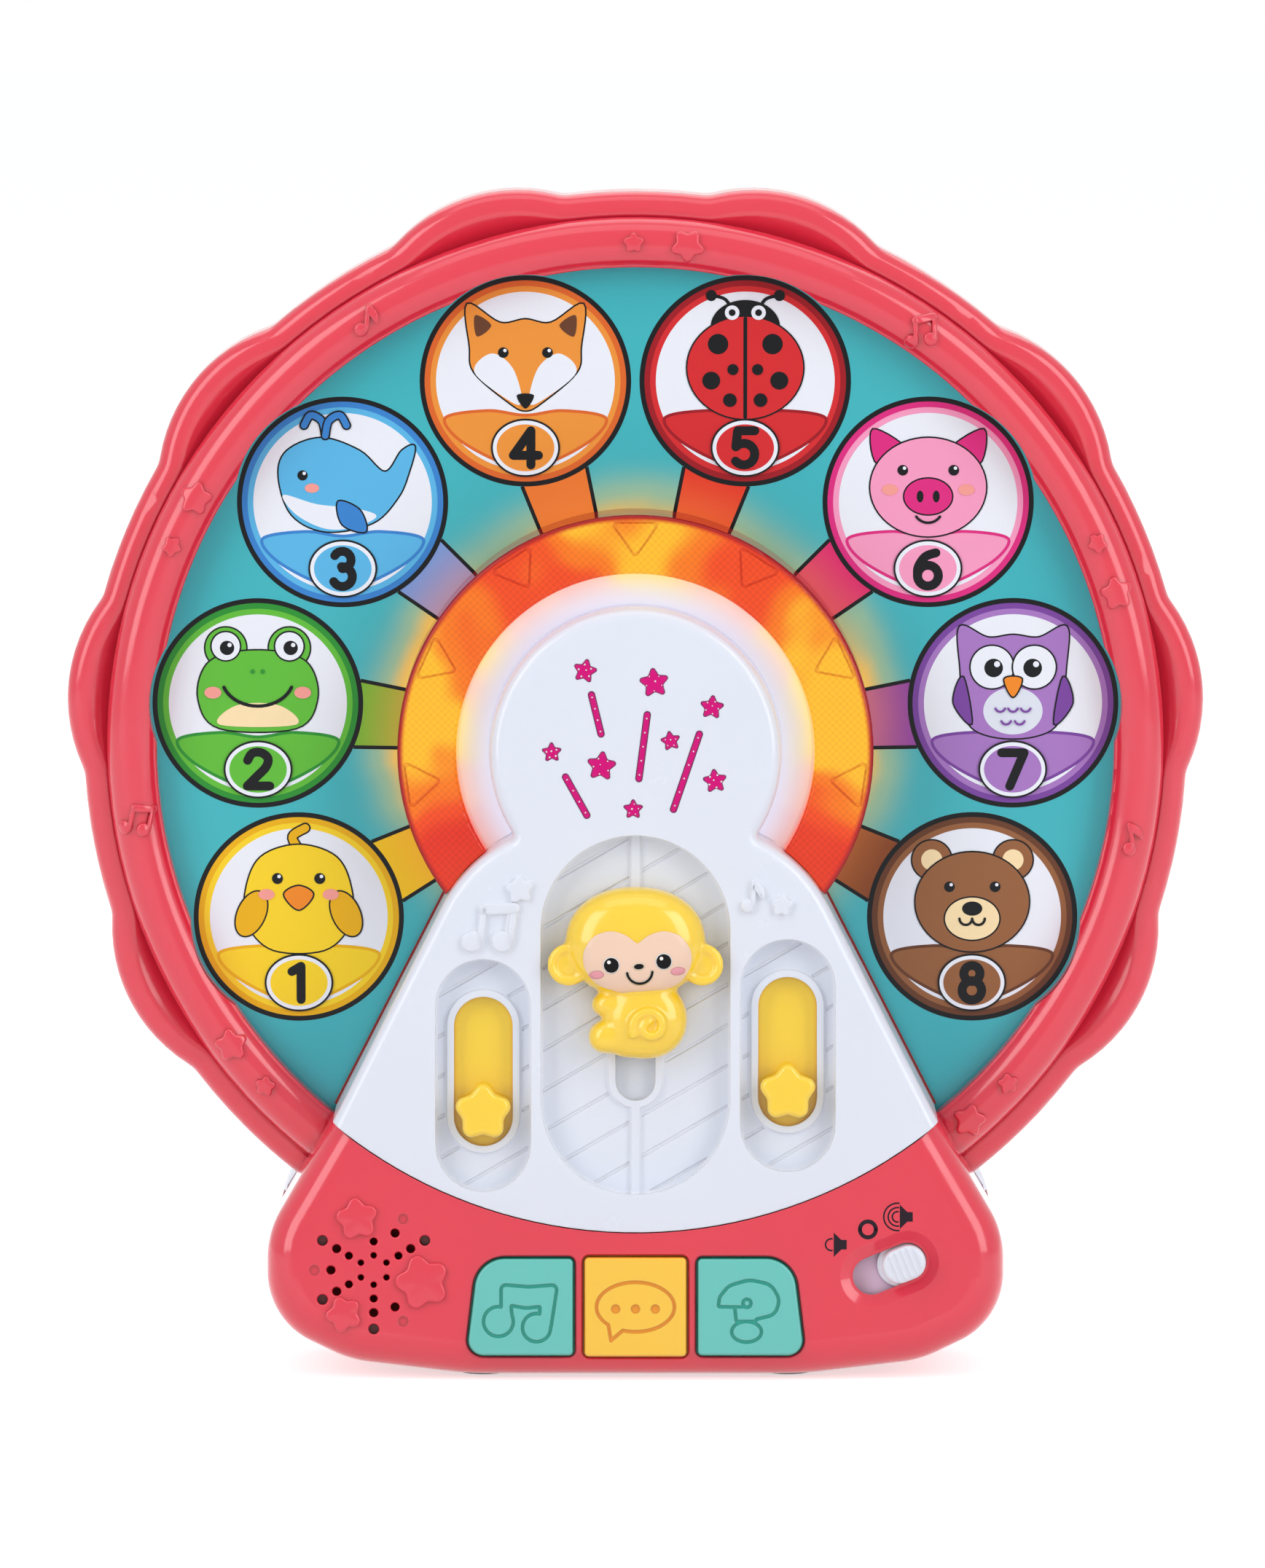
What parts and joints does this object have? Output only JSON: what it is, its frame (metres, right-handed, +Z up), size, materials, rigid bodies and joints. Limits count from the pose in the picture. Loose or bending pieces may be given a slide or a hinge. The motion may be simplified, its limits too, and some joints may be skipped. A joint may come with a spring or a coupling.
{
  "type": "animal sound spinner toy",
  "caption": "Upright baby activity toy: a wavy rim turns round a picture panel, lit ring and dome above sliders, push buttons, speaker grille and a volume switch.",
  "frame": {"origin": "middle of the footprint, on the surface the toy stands on", "axes": "+Z up, front of the toy towards -Y, +X to the right of the front view; the rim turns about Y"},
  "size_m": [0.3006, 0.1059, 0.3103],
  "materials": {
    "red_plastic": "glossy",
    "white_plastic": "glossy",
    "yellow_plastic": "glossy",
    "peach_plastic": "satin",
    "teal_plastic": "glossy",
    "printed_panel": "printed, glossy",
    "orange_lens": "translucent, lit from behind",
    "halo_lens": "translucent, lit from behind",
    "magenta_lens": "translucent",
    "screw_steel": "plated",
    "board_green": "lacquered board",
    "black_plastic": "moulded",
    "lamp_lens": "clear",
    "dark_rubber": "matt",
    "speaker_metal": "pressed",
    "speaker_paper": "matt",
    "cell_wrap": "printed wrap",
    "contact_brass": "plated",
    "roller_plastic": "natural"
  },
  "bodies": {
    "housing": {"base_front_cover": "red_plastic", "base_rear_cover": "white_plastic", "base_screws": "screw_steel", "wheel_back_cover": "white_plastic", "wheel_screws": "screw_steel", "roller_pins": "screw_steel", "bezel_ring": "red_plastic", "picture_panel": "printed_panel", "light_ring": "orange_lens", "halo_ring": "halo_lens", "led_board": "board_green", "lamps": "lamp_lens", "tower_cover": "white_plastic", "star_lens": "magenta_lens", "rubber_feet": "dark_rubber", "music_dome": "dark_rubber", "speech_dome": "dark_rubber", "question_dome": "dark_rubber", "main_board": "board_green", "board_chips": "black_plastic", "slider_board": "board_green", "speaker_frame": "speaker_metal", "speaker_cone": "speaker_paper", "speaker_magnet": "speaker_metal", "volume_switch": "white_plastic", "battery_cells": "cell_wrap", "battery_contacts": "contact_brass", "encoder_sensor": "black_plastic"},
    "spinner": {"rim_front": "red_plastic", "rim_back": "red_plastic", "rim_screws": "screw_steel"},
    "roller_1": {"guide_roller_1": "roller_plastic", "encoder_wheel": "roller_plastic"},
    "roller_2": {"guide_roller_2": "roller_plastic"},
    "roller_3": {"guide_roller_3": "roller_plastic"},
    "roller_4": {"guide_roller_4": "roller_plastic"},
    "monkey": {"monkey_knob": "yellow_plastic", "monkey_face": "peach_plastic", "monkey_keeper": "white_plastic", "monkey_screw": "screw_steel"},
    "left_star": {"left_star_knob": "yellow_plastic", "left_shutter": "yellow_plastic"},
    "right_star": {"right_star_knob": "yellow_plastic", "right_shutter": "yellow_plastic"},
    "music": {"music_button": "teal_plastic"},
    "speech": {"speech_button": "yellow_plastic"},
    "question": {"question_button": "teal_plastic"},
    "volume": {"volume_knob": "white_plastic"},
    "door": {"battery_door": "white_plastic", "door_screw": "screw_steel"}
  },
  "joints": [
    {"name": "rim_spin", "type": "hinge", "parent": "housing", "child": "spinner", "pos_m": [0, 0, 0.164], "axis": [0, 1, 0], "continuous": true},
    {"name": "roller_1_spin", "type": "hinge", "parent": "housing", "child": "roller_1", "pos_m": [0.0903, 0, 0.2543], "axis": [0, 1, 0], "continuous": true},
    {"name": "roller_2_spin", "type": "hinge", "parent": "housing", "child": "roller_2", "pos_m": [-0.0903, 0, 0.2543], "axis": [0, 1, 0], "continuous": true},
    {"name": "roller_3_spin", "type": "hinge", "parent": "housing", "child": "roller_3", "pos_m": [-0.0903, 0, 0.0737], "axis": [0, 1, 0], "continuous": true},
    {"name": "roller_4_spin", "type": "hinge", "parent": "housing", "child": "roller_4", "pos_m": [0.0903, 0, 0.0737], "axis": [0, 1, 0], "continuous": true},
    {"name": "monkey_slide", "type": "slide", "parent": "housing", "child": "monkey", "axis": [0, 0.0872, 0.9962], "range_m": [-0.028, 0]},
    {"name": "left_star_slide", "type": "slide", "parent": "housing", "child": "left_star", "axis": [0, 0.0872, 0.9962], "range_m": [0, 0.021]},
    {"name": "right_star_slide", "type": "slide", "parent": "housing", "child": "right_star", "axis": [0, 0.0872, 0.9962], "range_m": [0, 0.021]},
    {"name": "music_press", "type": "slide", "parent": "housing", "child": "music", "axis": [0, 0.9962, -0.0872], "range_m": [0, 0.0025], "stiffness_N_per_m": 1000, "deforming": ["music_dome"]},
    {"name": "speech_press", "type": "slide", "parent": "housing", "child": "speech", "axis": [0, 0.9962, -0.0872], "range_m": [0, 0.0025], "stiffness_N_per_m": 1000, "deforming": ["speech_dome"]},
    {"name": "question_press", "type": "slide", "parent": "housing", "child": "question", "axis": [0, 0.9962, -0.0872], "range_m": [0, 0.0025], "stiffness_N_per_m": 1000, "deforming": ["question_dome"]},
    {"name": "volume_slide", "type": "slide", "parent": "housing", "child": "volume", "axis": [0.9272, 0.0327, 0.3732], "range_m": [-0.008, 0]},
    {"name": "door_out", "type": "slide", "parent": "housing", "child": "door", "axis": [0, 1, 0], "range_m": [0, 0.015]}
  ],
  "couplings": [
    {"joint": "roller_1_spin", "follows": "rim_spin", "ratio": 22.333},
    {"joint": "roller_2_spin", "follows": "rim_spin", "ratio": 22.333},
    {"joint": "roller_3_spin", "follows": "rim_spin", "ratio": 22.333},
    {"joint": "roller_4_spin", "follows": "rim_spin", "ratio": 22.333}
  ]
}
